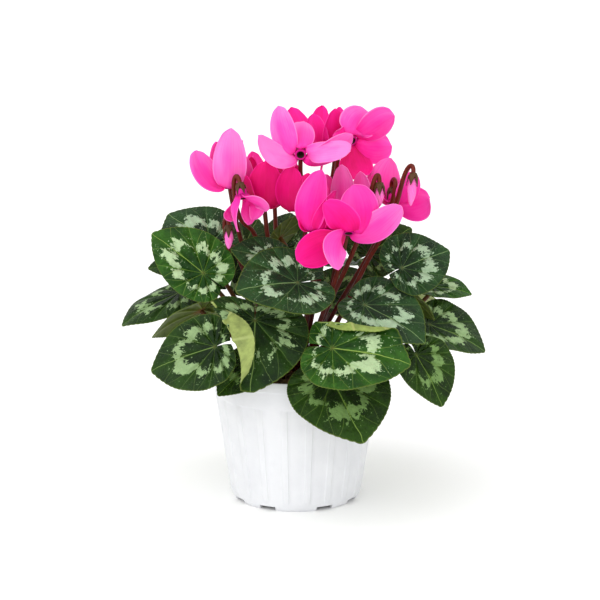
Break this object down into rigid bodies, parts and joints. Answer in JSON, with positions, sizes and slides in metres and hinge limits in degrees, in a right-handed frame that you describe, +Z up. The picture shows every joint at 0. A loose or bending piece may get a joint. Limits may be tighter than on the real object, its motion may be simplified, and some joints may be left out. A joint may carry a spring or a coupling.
{
  "type": "potted cyclamen",
  "caption": "Flowering cyclamen in a ribbed nursery pot: marbled heart-shaped leaves spread over the rim and swept-back petals nod above on hooked stalks.",
  "frame": {"origin": "on the ground under the pot's axis, at the middle of the foot", "axes": "+Z up along the pot's axis, -Y towards the front, +X to the right seen from the front"},
  "size_m": [0.2624, 0.2156, 0.2835],
  "materials": {
    "white_plastic": "semi-matt moulded",
    "compost": "rough, crumbly",
    "tuber_bark": "rough, dry",
    "leaf_green": "satin, marbled",
    "petal_pink": "soft satin",
    "stalk_maroon": "satin"
  },
  "bodies": {
    "root": {"pot": "white_plastic", "soil": "compost", "tuber": "tuber_bark", "leaf_front_low": "leaf_green", "leaf_front_right": "leaf_green", "leaf_front_folded": "leaf_green", "leaf_front_centre": "leaf_green", "leaf_front_left_low": "leaf_green", "leaf_rim_left": "leaf_green", "leaf_left_bright": "leaf_green", "leaf_left_back": "leaf_green", "leaf_left_far": "leaf_green", "leaf_left_under": "leaf_green", "leaf_left_inner": "leaf_green", "leaf_centre_upper": "leaf_green", "leaf_right_centre": "leaf_green", "leaf_right_upper": "leaf_green", "leaf_right_curled": "leaf_green", "leaf_right_far": "leaf_green", "leaf_right_side": "leaf_green", "leaf_right_low": "leaf_green", "leaf_inner_right": "leaf_green", "leaf_inner_left": "leaf_green", "leaf_back_olive": "leaf_green", "leaf_back_high": "leaf_green", "leaf_back_right_high": "leaf_green", "leaf_back_left_side": "leaf_green", "leaf_back_left_top": "leaf_green", "leaf_back_left_low": "leaf_green", "leaf_back_middle": "leaf_green", "leaf_back_right_low": "leaf_green", "leaf_back_right_top": "leaf_green", "leaf_back_right_side": "leaf_green", "flower_left": "petal_pink", "flower_left_inner": "petal_pink", "flower_top": "petal_pink", "flower_top_back": "petal_pink", "flower_top_right": "petal_pink", "flower_centre": "petal_pink", "flower_centre_right": "petal_pink", "flower_front": "petal_pink", "flower_behind_front": "petal_pink", "flower_right": "petal_pink", "flower_half_open": "petal_pink", "flower_back": "petal_pink", "flower_left_stalk": "stalk_maroon", "flower_left_inner_stalk": "stalk_maroon", "flower_top_stalk": "stalk_maroon", "flower_top_back_stalk": "stalk_maroon", "flower_top_right_stalk": "stalk_maroon", "flower_centre_stalk": "stalk_maroon", "flower_centre_right_stalk": "stalk_maroon", "flower_front_stalk": "stalk_maroon", "flower_behind_front_stalk": "stalk_maroon", "flower_right_stalk": "stalk_maroon", "flower_half_open_stalk": "stalk_maroon", "flower_back_stalk": "stalk_maroon", "bud_right": "stalk_maroon", "bud_far_right": "stalk_maroon", "bud_low_left": "stalk_maroon"}
  },
  "joints": []
}
